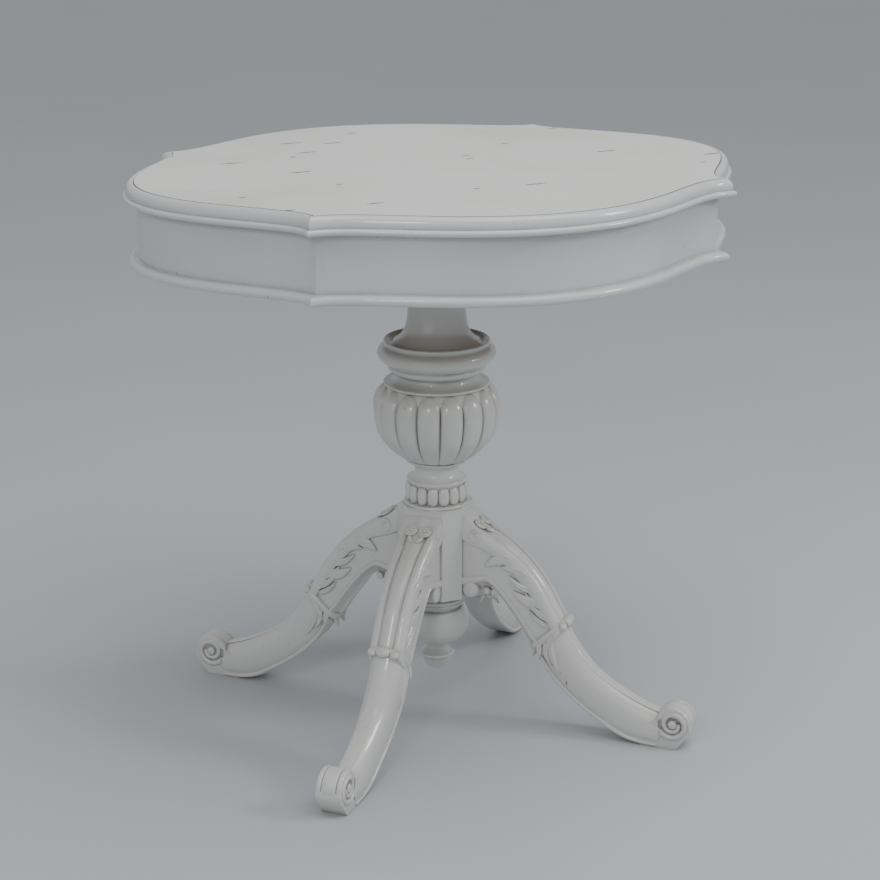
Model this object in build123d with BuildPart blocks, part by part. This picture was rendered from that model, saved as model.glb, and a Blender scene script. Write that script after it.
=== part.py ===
"""Tilt top table: serpentine moulded top on a turned pedestal with four carved scroll legs.

Frame: millimetres, +Z up, origin on the floor under the pedestal axis. X runs along the long
side of the top, -Y is the front, the hinge of the top runs parallel to X near the front.
"""
import os
from math import atan, degrees, sqrt

from build123d import *

# ---- overall sizes -------------------------------------------------------------------------
table_height = 720.0
flat_half_length = 260.0  # corner of the flat field, along X
flat_half_depth = 232.0  # corner of the flat field, along Y
end_bulge = 117.0  # how far each short side swells past its corners
side_bulge = 104.0  # how far each long side swells past its corners

# ---- top board, edge moulding, apron, bottom rail ------------------------------------------
board_thickness = 22.0
moulding_width = 14.0
quirk = 1.4  # V groove between the field and the moulding
apron_setback = 2.0
apron_thickness = 16.0
apron_height = 66.0
rail_height = 12.0
rail_projection = 12.0  # nose of the rail past the apron face
side_stations = 49  # points along each serpentine side
corner_block_reach = 78.0  # along each side, from the corner of the field
corner_block_height = 60.0
block_fit = 0.15  # glue line between a block and the apron
glue_block_length = 44.0
glue_block_section = 18.0
glue_block_let_in = 6.0  # rough length cut away by the curve of the apron
glue_block_share = 0.22  # of the half span, either side of the middle

# ---- head block, hinge, bearers ------------------------------------------------------------
block_length = 300.0  # along X
block_rear = 150.0  # rear face of the block, from the pedestal axis
block_thickness = 35.0
pivot_offset = 150.0  # hinge axis in front of the pedestal axis
rest_gap = 0.5  # board above the block when the top is down
bearer_gap = 0.5  # bearer beside the block
bearer_thickness = 24.0
bearer_depth = 38.0
bearer_half_length = 243.0
pin_radius = 6.0
pin_in_block = 30.0
pin_in_bearer = 20.0
running_clearance = 0.06  # pin in the bearer
glue_clearance = 0.05  # glued dowels, tenons and spigots

# ---- screws --------------------------------------------------------------------------------
screw_shank_radius = 2.2
screw_head_radius = 4.4
screw_head_depth = 2.4
screw_clearance = 0.05
bearer_screw_length = 52.0
catch_screw_length = 15.0
keeper_screw_length = 16.0

# ---- catch ---------------------------------------------------------------------------------
catch_width = 30.0
catch_length = 48.0
catch_depth = 11.0
catch_flange_width = 56.0
catch_flange_thickness = 2.5
catch_stand_off = 2.0  # case behind the keeper plate
bolt_width = 12.0
bolt_thickness = 5.0
bolt_length = 42.0
bolt_throw = 10.0
bolt_clearance = 0.3
knob_radius = 7.0
knob_length = 9.0
knob_stem_radius = 2.5
knob_stand_off = 1.5  # knob below the case
knob_seat = 3.0  # how far the stem reaches past the case
keeper_thickness = 2.0
keeper_width = 44.0
keeper_height = 22.0

# ---- pedestal: heights of the joints between the turned sections ---------------------------
neck_foot = 500.0
dish_foot = 457.0
bulb_foot = 342.0
collar_foot = 287.0
stem_foot = 166.0
ring_foot = 148.0
bun_foot = 99.0
finial_foot = 56.0
head_tenon_radius = 22.0
neck_foot_radius = 54.0
dish_foot_radius = 50.0
necking_radius = 50.0  # ring under the block
head_tenon_gap = 1.5  # tenon below the top face of the block
spigot_radius = 14.0
spigot_end_gap = 2.0
neck_spigot_length = 70.0
bulb_spigot_length = 85.0
bun_spigot_length = 48.0
finial_spigot_radius = 7.0
finial_spigot_length = 24.0
wedge_thickness = 3.0
wedge_depth = 24.0
bulb_radius = 81.5
bulb_lobes = 16
bulb_groove_radius = 3.2
collar_radius = 41.0
collar_beads = 16
bead_groove_radius = 1.7

# ---- legs ----------------------------------------------------------------------------------
leg_turn = 42.5  # azimuth of the first leg, degrees from +X
leg_width_root = 50.0
leg_width_tie = 43.0
leg_width_toe = 32.0
leg_root = 44.3  # glue face of a leg, from the pedestal axis
facet_distance = 49.0  # open facets of the stem, between the legs
leg_top = 281.0
leg_root_foot = 168.0
toe_floor = 330.0  # outer end of the foot's flat sole
toe_reach = 347.5
toe_chamfer_top = 24.0
scroll_radius = 22.5
scroll_height = 34.0
scroll_boss = 1.2
tie_radius = 176.0  # middle of the ribbon tie, from the pedestal axis
tie_height = 141.0
tie_slope = 58.0  # how far the leg falls there, degrees
tie_thickness = 13.0
tie_depth = 53.0
tie_swell = 1.5
dovetail_depth = 18.0
dovetail_width = 15.0
dovetail_flare = 3.0
dovetail_foot = 176.0
dovetail_head = 262.0

# ---- worked out ----------------------------------------------------------------------------
board_underside = table_height - board_thickness
block_top = board_underside - rest_gap
block_underside = block_top - block_thickness
pivot_height = block_top - block_thickness / 2
bearer_inner = block_length / 2 + bearer_gap

SIDES = {
    "front": (0, flat_half_length, flat_half_depth, side_bulge),
    "right": (90, flat_half_depth, flat_half_length, end_bulge),
    "back": (180, flat_half_length, flat_half_depth, side_bulge),
    "left": (270, flat_half_depth, flat_half_length, end_bulge),
}
LEGS = ("back_right", "back_left", "front_left", "front_right")


def write(part, name):
    """Label a finished piece and write it."""
    part.label = name
    export_step(part, f"parts/{name}.step")


def swell(s):
    """Share of the bulge at s, which runs from -1 to 1 along a side: S-curved, level at the corners."""
    q = 1 - s * s
    return q * q * (1.6 - 0.6 * q)


def side_curve(side, height=0.0):
    """Curve of one side, which faces -Y, with a short straight run past both corners, and its corners."""
    turn, half_span, corner, bulge = side
    steps = [2 * i / (side_stations - 1) - 1 for i in range(side_stations)]
    points = [Vector(s * half_span, -corner - bulge * swell(s), height) for s in steps]
    first = points[0] - Vector(moulding_width + apron_thickness, 0, 0)
    last = points[-1] + Vector(moulding_width + apron_thickness, 0, 0)
    knots = [first, (points[0] + first) * 0.5] + points + [(points[-1] + last) * 0.5, last]
    curve = Spline(knots, mode=Mode.PRIVATE)
    return curve, points[0], points[-1]


def behind_edge(side, s, inset):
    """Point inset from the edge of the field at s along a side that faces -Y, and the slope there."""
    turn, half_span, corner, bulge = side
    q = 1 - s * s
    slope = 2 * s * (3.2 * q - 1.8 * q * q) * bulge / half_span
    inward = Vector(-slope, 1).normalized()
    return Vector(s * half_span, -corner - bulge * swell(s)) + inward * inset, slope


def inside_points(side, end):
    """Points on the inner face of the apron, from a block's reach to just short of the corner."""
    inset = apron_setback + apron_thickness + block_fit
    points = []
    for along in (corner_block_reach, 0.75 * corner_block_reach, 0.5 * corner_block_reach, 1.1 * inset):
        point, slope = behind_edge(side, 1 - along / side[1], inset)
        points.append(Vector(end * point.X, point.Y).rotate(Axis.Z, side[0]))
    return points


def field_face():
    """Sketch of the serpentine field."""
    with BuildSketch() as field:
        with BuildLine():
            for side in SIDES.values():
                curve, start, end = side_curve(side)
                span = curve.trim(curve.param_at_point(start), curve.param_at_point(end))
                add(span.rotate(Axis.Z, side[0]))
        make_face()
    return field.sketch


def rim_piece(side, outline):
    """One mitred strip of the rim. The outline function draws (out, down) from the flat edge."""
    turn, half_span, corner, bulge = SIDES[side]
    curve = side_curve(SIDES[side], table_height)[0]
    with BuildPart() as strip:
        with BuildLine() as path:
            add(curve)
        with BuildSketch(Plane(origin=path.line @ 0, x_dir=(0, -1, 0), z_dir=(1, 0, 0))):
            add(outline())
        sweep(path=path.wires()[0])
        for way in (1, -1):
            mitre = Plane(origin=(way * half_span, -corner, 0), z_dir=(way, 1, 0))
            split(bisect_by=mitre, keep=Keep.BOTTOM)
    return strip.part.rotate(Axis.Z, turn)


def moulding_outline():
    """Ovolo over a fillet and a bead."""
    ovolo_out = moulding_width - 3.5
    ovolo_down = 0.58 * board_thickness
    with BuildSketch() as outline:
        with BuildLine():
            Line((glue_clearance, board_thickness), (glue_clearance, quirk))
            Line((glue_clearance, quirk), (quirk, 0))
            middle = (quirk + 0.72 * (ovolo_out - quirk), 0.34 * ovolo_down)
            ThreePointArc((quirk, 0), middle, (ovolo_out, ovolo_down))
            bead_top = ovolo_down + 1.2
            bead_foot = board_thickness - 0.8
            Line((ovolo_out, ovolo_down), (ovolo_out, bead_top))
            nose = (moulding_width, (bead_top + bead_foot) / 2)
            ThreePointArc((ovolo_out, bead_top), nose, (ovolo_out, bead_foot))
            Line((ovolo_out, bead_foot), (ovolo_out, board_thickness))
            Line((ovolo_out, board_thickness), (glue_clearance, board_thickness))
        make_face()
    return outline.sketch


def apron_outline():
    """Plain board standing on edge."""
    middle = (-apron_setback - apron_thickness / 2, board_thickness + apron_height / 2)
    with BuildSketch() as outline:
        with Locations(middle):
            Rectangle(apron_thickness, apron_height)
    return outline.sketch


def rail_outline():
    """Flat strip under the apron with a half round nose."""
    top = board_thickness + apron_height
    foot = top + rail_height
    back = -apron_setback - apron_thickness
    nose = rail_projection - apron_setback
    shoulder = nose - rail_height / 2
    with BuildSketch() as outline:
        with BuildLine():
            Polyline((shoulder, foot), (back, foot), (back, top), (shoulder, top))
            ThreePointArc((shoulder, top), (nose, (top + foot) / 2), (shoulder, foot))
        make_face()
    return outline.sketch


def turned(outline):
    """Solid of revolution about the pedestal axis; the outline function draws (radius, height)."""
    with BuildPart() as turning:
        with BuildSketch(Plane.XZ):
            add(outline())
        revolve(axis=Axis.Z)
    return turning.part


def wood_screw(plane, length):
    """Countersunk screw: head face on the plane, shank along the plane's normal."""
    with BuildPart() as screw:
        with BuildSketch(plane):
            Circle(screw_head_radius)
        with BuildSketch(plane.offset(screw_head_depth)):
            Circle(screw_shank_radius)
        loft()
        with BuildSketch(plane):
            Circle(screw_shank_radius)
        extrude(amount=length)
        with BuildSketch(plane):
            Rectangle(2 * screw_head_radius, 1.0)
        extrude(amount=1.0, mode=Mode.SUBTRACT)
    return screw.part


def screw_hole(plane, length):
    """Tool that drills for wood_screw, with clearance all round the shank and under the head."""
    with BuildPart() as drill:
        with BuildSketch(plane):
            Circle(screw_head_radius + screw_clearance)
        with BuildSketch(plane.offset(screw_head_depth)):
            Circle(screw_shank_radius + screw_clearance)
        loft()
        with BuildSketch(plane):
            Circle(screw_shank_radius + screw_clearance)
        extrude(amount=length + 1.0)
    return drill.part


os.makedirs("parts", exist_ok=True)

# ---- rim of the top ------------------------------------------------------------------------
aprons = {}
for side in SIDES:
    write(rim_piece(side, moulding_outline), f"edge_moulding_{side}")
    aprons[side] = rim_piece(side, apron_outline)
    write(aprons[side], f"apron_{side}")
    write(rim_piece(side, rail_outline), f"bottom_rail_{side}")

# ---- corner blocks behind the apron --------------------------------------------------------
block_corners = ("front_right", "back_right", "back_left", "front_left")
side_list = list(SIDES.values())
for number, name in enumerate(block_corners):
    with BuildPart() as corner_block:
        with BuildSketch(Plane.XY.offset(board_underside)):
            with BuildLine():
                before = inside_points(side_list[number], 1)
                after = inside_points(side_list[(number + 1) % 4], -1)
                Spline(before)
                Line(before[-1], after[-1])
                Spline(after)
                Line(after[0], before[0])
            make_face()
        extrude(amount=corner_block_height, dir=(0, 0, -1))
    write(corner_block.part, f"corner_block_{name}")

# ---- glue blocks under the board, let a little into the apron ------------------------------
apron_inside = apron_setback + apron_thickness
with BuildPart() as glue_blocks:
    for side in SIDES.values():
        for share in (-glue_block_share, glue_block_share):
            inset = apron_inside + (glue_block_section - glue_block_let_in) / 2
            middle, slope = behind_edge(side, share, inset)
            middle = middle.rotate(Axis.Z, side[0])
            with BuildSketch(Plane.XY.offset(board_underside)):
                with Locations(Location((middle.X, middle.Y, 0), (0, 0, side[0] + degrees(atan(slope))))):
                    Rectangle(glue_block_length, glue_block_section + glue_block_let_in)
            extrude(amount=-glue_block_section)
    for apron in aprons.values():
        add(apron, mode=Mode.SUBTRACT)
write(glue_blocks.part, "glue_blocks")

# ---- hinge axis, bearers and their screws --------------------------------------------------
bearer_middle = bearer_inner + bearer_thickness / 2
bearer_foot = board_underside - bearer_depth
screw_rows = (-0.78, -0.28, 0.28, 0.78)
bearer_screw_planes = [
    Plane(origin=(way * bearer_middle, row * bearer_half_length, bearer_foot), z_dir=(0, 0, 1))
    for way in (-1, 1)
    for row in screw_rows
]
for name, way in (("left", -1), ("right", 1)):
    with BuildPart() as bearer:
        with BuildSketch(Plane.YZ.offset(way * bearer_inner)):
            with BuildLine():
                reach = bearer_half_length
                Polyline(
                    (-reach, board_underside),
                    (reach, board_underside),
                    (reach, board_underside - bearer_depth / 2),
                    (reach - bearer_depth, bearer_foot),
                    (bearer_depth - reach, bearer_foot),
                    (-reach, board_underside - bearer_depth / 2),
                    close=True,
                )
            make_face()
        extrude(amount=way * bearer_thickness)
        with BuildSketch(Plane.YZ.offset(way * bearer_inner)):
            with Locations((-pivot_offset, pivot_height)):
                Circle(pin_radius + running_clearance)
        extrude(amount=way * (pin_in_bearer + 1.0), mode=Mode.SUBTRACT)
        for plane in bearer_screw_planes:
            add(screw_hole(plane, bearer_screw_length), mode=Mode.SUBTRACT)
    write(bearer.part, f"bearer_{name}")

with BuildPart() as bearer_screws:
    for plane in bearer_screw_planes:
        add(wood_screw(plane, bearer_screw_length))
write(bearer_screws.part, "bearer_screws")

for name, way in (("left", -1), ("right", 1)):
    with BuildPart() as pivot_pin:
        with BuildSketch(Plane.YZ.offset(way * (block_length / 2 - pin_in_block))):
            with Locations((-pivot_offset, pivot_height)):
                Circle(pin_radius)
        extrude(amount=way * (pin_in_block + bearer_gap + pin_in_bearer))
        chamfer(pivot_pin.edges().filter_by(GeomType.CIRCLE), length=0.8)
    write(pivot_pin.part, f"pivot_pin_{name}")

# ---- catch under the rear of the board -----------------------------------------------------
keeper_face = block_rear + keeper_thickness
case_front = keeper_face + catch_stand_off
case_foot = board_underside - catch_depth
bolt_height = board_underside - catch_depth / 2
catch_screw_x = (catch_width + catch_flange_width) / 4
catch_screw_planes = [
    Plane(
        origin=(x_way * catch_screw_x, case_front + catch_length * share, board_underside - catch_flange_thickness),
        z_dir=(0, 0, 1),
    )
    for x_way in (-1, 1)
    for share in (0.2, 0.8)
]
slot_width = 2 * (knob_stem_radius + bolt_clearance)
knob_y = case_front + catch_length * 0.55
with BuildPart() as catch_case:
    with BuildSketch(Plane.XY.offset(board_underside)):
        with Locations((0, case_front + catch_length / 2)):
            RectangleRounded(catch_flange_width, catch_length, 4.0)
    extrude(amount=-catch_flange_thickness)
    with BuildSketch(Plane.XY.offset(board_underside)):
        with Locations((0, case_front + catch_length / 2)):
            Rectangle(catch_width, catch_length)
    extrude(amount=-catch_depth)
    with BuildSketch(Plane.XZ.offset(-case_front)):
        with Locations((0, bolt_height)):
            Rectangle(bolt_width + 2 * bolt_clearance, bolt_thickness + 2 * bolt_clearance)
    extrude(amount=-(bolt_length + 2 * bolt_clearance), mode=Mode.SUBTRACT)
    with BuildSketch(Plane.XY.offset(case_foot)):
        with Locations((0, knob_y - bolt_throw / 2)):
            SlotOverall(slot_width + bolt_throw, slot_width, rotation=90)
    extrude(amount=catch_depth / 2, mode=Mode.SUBTRACT)
    for plane in catch_screw_planes:
        add(screw_hole(plane, catch_screw_length), mode=Mode.SUBTRACT)
write(catch_case.part, "catch_case")

with BuildPart() as catch_screws:
    for plane in catch_screw_planes:
        add(wood_screw(plane, catch_screw_length))
write(catch_screws.part, "catch_screws")

with BuildPart() as catch_bolt:
    with BuildSketch(Plane.XZ.offset(-case_front)):
        with Locations((0, bolt_height)):
            Rectangle(bolt_width, bolt_thickness)
    extrude(amount=-bolt_length)
    with BuildSketch(Plane.XY.offset(bolt_height)):
        with Locations((0, knob_y)):
            Circle(knob_stem_radius)
    extrude(amount=-(catch_depth / 2 + knob_seat))
write(catch_bolt.part, "catch_bolt")

knob_top = case_foot - knob_stand_off
with BuildPart() as catch_knob:
    with BuildSketch(Plane.XY.offset(knob_top)):
        with Locations((0, knob_y)):
            Circle(knob_radius)
    extrude(amount=-knob_length)
    with BuildSketch(Plane.XY.offset(knob_top)):
        with Locations((0, knob_y)):
            Circle(knob_stem_radius)
    extrude(amount=-(knob_seat - knob_stand_off), mode=Mode.SUBTRACT)
    fillet(catch_knob.edges().filter_by(GeomType.CIRCLE).group_by(Axis.Z)[0], radius=2.5)
write(catch_knob.part, "catch_knob")

# ---- head block and keeper -----------------------------------------------------------------
keeper_screw_planes = [
    Plane(origin=(x_way * (keeper_width / 2 - 6.0), keeper_face, bolt_height), z_dir=(0, -1, 0))
    for x_way in (-1, 1)
]
mortise_width = bolt_width + 4 * bolt_clearance
mortise_height = bolt_thickness + 4 * bolt_clearance
keeper_top = block_top - 1.0
with BuildPart() as head_block:
    with BuildSketch(Plane.YZ.offset(-block_length / 2)):
        nose = block_thickness / 2
        with BuildLine():
            Polyline(
                (-pivot_offset, block_top),
                (block_rear, block_top),
                (block_rear, block_underside),
                (-pivot_offset - nose, block_underside),
                (-pivot_offset - nose, pivot_height),
            )
            RadiusArc((-pivot_offset - nose, pivot_height), (-pivot_offset, block_top), nose)
        make_face()
    extrude(amount=block_length)
    with BuildSketch(Plane.XY.offset(block_underside)):
        Circle(head_tenon_radius + glue_clearance)
    extrude(amount=block_thickness, mode=Mode.SUBTRACT)
    for way in (-1, 1):
        with BuildSketch(Plane.YZ.offset(way * block_length / 2)):
            with Locations((-pivot_offset, pivot_height)):
                Circle(pin_radius + glue_clearance)
        extrude(amount=-way * pin_in_block, mode=Mode.SUBTRACT)
    with BuildSketch(Plane.XZ.offset(-block_rear)):
        with Locations((0, bolt_height)):
            Rectangle(mortise_width, mortise_height)
    extrude(amount=bolt_throw + 4.0, mode=Mode.SUBTRACT)
    for plane in keeper_screw_planes:
        add(screw_hole(plane, keeper_screw_length), mode=Mode.SUBTRACT)
write(head_block.part, "head_block")

with BuildPart() as keeper_plate:
    with BuildSketch(Plane.XZ.offset(-block_rear)):
        with Locations((0, keeper_top - keeper_height / 2)):
            RectangleRounded(keeper_width, keeper_height, 2.0)
        with Locations((0, bolt_height)):
            Rectangle(mortise_width, mortise_height, mode=Mode.SUBTRACT)
    extrude(amount=-keeper_thickness)
    for plane in keeper_screw_planes:
        add(screw_hole(plane, keeper_screw_length), mode=Mode.SUBTRACT)
write(keeper_plate.part, "keeper_plate")

with BuildPart() as keeper_screws:
    for plane in keeper_screw_planes:
        add(wood_screw(plane, keeper_screw_length))
write(keeper_screws.part, "keeper_screws")

# ---- top board -----------------------------------------------------------------------------
with BuildPart() as top_board:
    with BuildSketch(Plane.XY.offset(board_underside)):
        add(field_face())
    extrude(amount=board_thickness)
    for plane in bearer_screw_planes:
        add(screw_hole(plane, bearer_screw_length), mode=Mode.SUBTRACT)
    for plane in catch_screw_planes:
        add(screw_hole(plane, catch_screw_length), mode=Mode.SUBTRACT)
write(top_board.part, "top_board")


# ---- turned pedestal, from the block down --------------------------------------------------
def neck_outline():
    """Necking ring under the block, slender neck flaring to its foot, with both tenons."""
    tenon_top = block_top - head_tenon_gap
    spigot_end = neck_foot - neck_spigot_length
    with BuildSketch() as outline:
        with BuildLine():
            Polyline((0, spigot_end), (0, tenon_top), (head_tenon_radius, tenon_top))
            Line((head_tenon_radius, tenon_top), (head_tenon_radius, block_underside))
            Line((head_tenon_radius, block_underside), (necking_radius, block_underside))
            bead_middle = block_underside - 12
            bead_top = (necking_radius, bead_middle + 6)
            bead_foot = (necking_radius, bead_middle - 6)
            Line((necking_radius, block_underside), bead_top)
            ThreePointArc(bead_top, (necking_radius + 5, bead_middle), bead_foot)
            Line(bead_foot, (43, block_underside - 20))
            Spline(
                (43, block_underside - 20), (36.5, 600), (35.5, 550), (43, 515), (neck_foot_radius, neck_foot),
                tangents=((-0.6, -1), (1, -0.7)),
            )
            Line((neck_foot_radius, neck_foot), (spigot_radius, neck_foot))
            Polyline((spigot_radius, neck_foot), (spigot_radius, spigot_end), (0, spigot_end))
        make_face()
    return outline.sketch


def dish_outline():
    """Shallow dish inside a raised rim, over a bold torus, a step and a deep cove."""
    bore = spigot_radius + glue_clearance
    with BuildSketch() as outline:
        with BuildLine():
            Polyline((bore, dish_foot), (bore, neck_foot), (neck_foot_radius, neck_foot))
            Spline((neck_foot_radius, neck_foot), (60, 498.0), (65, 500.6), tangents=((1, -0.5), (1, 0.6)))
            Polyline((65, 500.6), (67, 500.6), (67, 495.2))
            ThreePointArc((67, 495.2), (75, 485), (66, 474.6))
            Polyline((66, 474.6), (60, 473.0), (60, 465.0))
            Spline((60, 465.0), (53, 461.5), (dish_foot_radius, dish_foot), tangents=((-1, 0), (0, -1)))
            Line((dish_foot_radius, dish_foot), (bore, dish_foot))
        make_face()
    return outline.sketch


def bulb_outline():
    """Melon bulb between two thin lips."""
    socket_end = neck_foot - neck_spigot_length - spigot_end_gap
    bore = spigot_radius + glue_clearance
    spigot_end = bulb_foot - bulb_spigot_length
    with BuildSketch() as outline:
        with BuildLine():
            Polyline((0, spigot_end), (0, socket_end), (bore, socket_end), (bore, dish_foot))
            Line((bore, dish_foot), (dish_foot_radius, dish_foot))
            Spline((dish_foot_radius, dish_foot), (54, 450), (67, 447.5), tangents=((0, -1), (1, 0)))
            Line((67, 447.5), (67, 443.5))
            Spline(
                (67, 443.5), (77.5, 431), (bulb_radius, 413), (73, 383), (52, 356), (39.5, 346),
                tangents=((1, -0.4), (-1, -0.5)),
            )
            Polyline((39.5, 346), (39.5, bulb_foot), (spigot_radius, bulb_foot), (spigot_radius, spigot_end))
            Line((spigot_radius, spigot_end), (0, spigot_end))
        make_face()
    return outline.sketch


def collar_outline():
    """Small neck and shoulder over the beaded ring."""
    bore = spigot_radius + glue_clearance
    with BuildSketch() as outline:
        with BuildLine():
            Polyline((bore, collar_foot), (bore, bulb_foot), (36, bulb_foot))
            Spline((36, bulb_foot), (29, 334), (30, 326), (37, 320.5), tangents=((-1, -1), (1, -0.3)))
            Polyline((37, 320.5), (37, 317.0), (35.5, 315.0))
            ThreePointArc((35.5, 315.0), (collar_radius, 303), (36.5, 291))
            Polyline((36.5, 291), (42, 289.5), (42, collar_foot), (bore, collar_foot))
        make_face()
    return outline.sketch


def ring_outline():
    """Stepped ring under the stem."""
    bore = spigot_radius + glue_clearance
    with BuildSketch() as outline:
        with BuildLine():
            Polyline((bore, ring_foot), (bore, stem_foot), (37, stem_foot), (37, 158))
            ThreePointArc((37, 158), (40, 155), (37, 152))
            Polyline((37, 152), (34, 151), (34, ring_foot), (bore, ring_foot))
        make_face()
    return outline.sketch


def bun_outline():
    """Flattened ball with a spigot up into the stem."""
    spigot_top = ring_foot + bun_spigot_length
    socket_top = bun_foot + finial_spigot_length + spigot_end_gap
    bore = finial_spigot_radius + glue_clearance
    with BuildSketch() as outline:
        with BuildLine():
            Polyline((0, socket_top), (0, spigot_top), (spigot_radius, spigot_top), (spigot_radius, ring_foot))
            Polyline((spigot_radius, ring_foot), (31, ring_foot), (31, 144))
            Spline((31, 144), (38.5, 136), (41.7, 120), (36, 105), (24, bun_foot), tangents=((1, -0.2), (-1, -0.2)))
            Polyline((24, bun_foot), (bore, bun_foot), (bore, socket_top), (0, socket_top))
        make_face()
    return outline.sketch


def finial_outline():
    """Cove, flared disc and button hanging under the bun."""
    spigot_top = bun_foot + finial_spigot_length
    with BuildSketch() as outline:
        with BuildLine():
            Polyline((0, finial_foot), (0, spigot_top), (finial_spigot_radius, spigot_top))
            Polyline((finial_spigot_radius, spigot_top), (finial_spigot_radius, bun_foot), (15, bun_foot))
            Spline((15, bun_foot), (12.5, 90), (20, 80), tangents=((-0.6, -1), (1, -0.3)))
            ThreePointArc((20, 80), (22.5, 76.5), (19, 73))
            Line((19, 73), (15.5, 71))
            Spline((15.5, 71), (13, 62), (0, finial_foot), tangents=((0.3, -1), (-1, 0)))
        make_face()
    return outline.sketch


with BuildPart() as neck:
    add(turned(neck_outline))
    with BuildSketch(Plane.XY.offset(block_top - head_tenon_gap)):
        Rectangle(2 * head_tenon_radius, wedge_thickness)
    extrude(amount=-wedge_depth, mode=Mode.SUBTRACT)
write(neck.part, "neck")

with BuildPart() as tenon_wedge:
    with BuildSketch(Plane.XY.offset(block_top - head_tenon_gap)):
        Rectangle(2 * head_tenon_radius - 1.0, wedge_thickness)
    extrude(amount=-(wedge_depth - 1.0))
write(tenon_wedge.part, "tenon_wedge")

write(turned(dish_outline), "dish_collar")

# gadroon bulb: one groove between each pair of lobes, following the bulb's own outline
with BuildPart() as gadroon_bulb:
    add(turned(bulb_outline))
    with BuildPart(mode=Mode.PRIVATE) as groove:
        with BuildLine(Plane.XZ) as groove_path:
            Spline((78.0, 433), (bulb_radius + 0.8, 413), (73.6, 382.6), (53, 355.5), (45, 348.5))
        with BuildSketch(Plane(origin=groove_path.line @ 0, z_dir=groove_path.line % 0)):
            Circle(bulb_groove_radius)
        sweep(path=groove_path.line)
    for lobe in range(bulb_lobes):
        add(groove.part.rotate(Axis.Z, lobe * 360 / bulb_lobes), mode=Mode.SUBTRACT)
write(gadroon_bulb.part, "gadroon_bulb")

with BuildPart() as beaded_collar:
    add(turned(collar_outline))
    with BuildSketch(Plane.XY.offset(291.5)):
        with PolarLocations(collar_radius + 0.4, collar_beads):
            Circle(bead_groove_radius)
    extrude(amount=23.0, mode=Mode.SUBTRACT)
write(beaded_collar.part, "beaded_collar")


def dovetail_outline(grow):
    """Dovetail across the joint between a leg and the stem, widest inside the stem."""
    neck_half = dovetail_width / 2 + grow
    tail_half = neck_half + dovetail_flare
    with BuildSketch() as outline:
        with BuildLine():
            Polyline(
                (leg_root, neck_half),
                (leg_root - dovetail_depth - grow, tail_half),
                (leg_root - dovetail_depth - grow, -tail_half),
                (leg_root, -neck_half),
                close=True,
            )
        make_face()
    return outline.sketch


def leg_frame(number):
    """Frame of a leg: its X runs outward from the pedestal axis, its Z is up."""
    return Plane.XY.rotated((0, 0, leg_turn + 90 * number))


stem_corner = facet_distance * sqrt(2) - leg_root
with BuildPart() as stem_block:
    with BuildSketch(Plane.XY.offset(stem_foot)):
        with Locations(Location((0, 0, 0), (0, 0, leg_turn))):
            Rectangle(2 * leg_root, 2 * leg_root)
            Rectangle(
                2 * facet_distance, 2 * facet_distance, rotation=45, mode=Mode.INTERSECT
            )
    extrude(amount=collar_foot - stem_foot)
    chamfer(stem_block.faces().sort_by(Axis.Z)[-1].edges(), length=3.0)
    for number in range(4):
        frame = leg_frame(number)
        with BuildSketch(frame.offset(stem_foot)):
            add(dovetail_outline(glue_clearance))
        extrude(amount=dovetail_head + glue_clearance - stem_foot, mode=Mode.SUBTRACT)
    with BuildSketch(Plane.XY.offset(stem_foot)):
        Circle(spigot_radius + glue_clearance)
    extrude(amount=collar_foot - stem_foot, mode=Mode.SUBTRACT)
write(stem_block.part, "stem_block")

write(turned(ring_outline), "base_ring")
write(turned(bun_outline), "bun")
write(turned(finial_outline), "finial")


# ---- legs ----------------------------------------------------------------------------------
def leg_side_outline():
    """Side view of a leg: crest from the stem to the scroll, arched underside."""
    scroll_middle = toe_reach - scroll_radius
    scroll_top = scroll_height + scroll_radius
    meet = (scroll_middle - 0.83 * scroll_radius, scroll_height + 0.56 * scroll_radius)
    with BuildSketch() as outline:
        with BuildLine():
            Spline(
                (leg_root, leg_top), (82, 254), (117, 231), (150, 195), (tie_radius, 150),
                (203, 107), (244, 72), meet,
                tangents=((1, -0.55), (1, -0.42)),
            )
            ThreePointArc(meet, (scroll_middle, scroll_top), (toe_reach, scroll_height))
            Line((toe_reach, scroll_height), (toe_reach, toe_chamfer_top))
            Line((toe_reach, toe_chamfer_top), (toe_floor, 0))
            Line((toe_floor, 0), (280, 0))
            Spline(
                (280, 0), (250, 8), (199, 43), (161, 80), (138, 105), (117, 138), (94, 166), (74, 181),
                tangents=((-1, 0.12), (-1, 0.25)),
            )
            ThreePointArc((74, 181), (60, leg_root_foot), (leg_root, leg_root_foot))
            Line((leg_root, leg_root_foot), (leg_root, leg_top))
        make_face()
    return outline.sketch


def leg_plan_outline():
    """Plan view of a leg, narrowing from the stem to the toe."""
    stations = ((leg_root, leg_width_root), (tie_radius, leg_width_tie), (toe_reach, leg_width_toe))
    near = [(r, width / 2) for r, width in stations]
    far = [(r, -width / 2) for r, width in reversed(stations)]
    with BuildSketch() as outline:
        with BuildLine():
            Polyline(near + far, close=True)
        make_face()
    return outline.sketch


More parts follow.
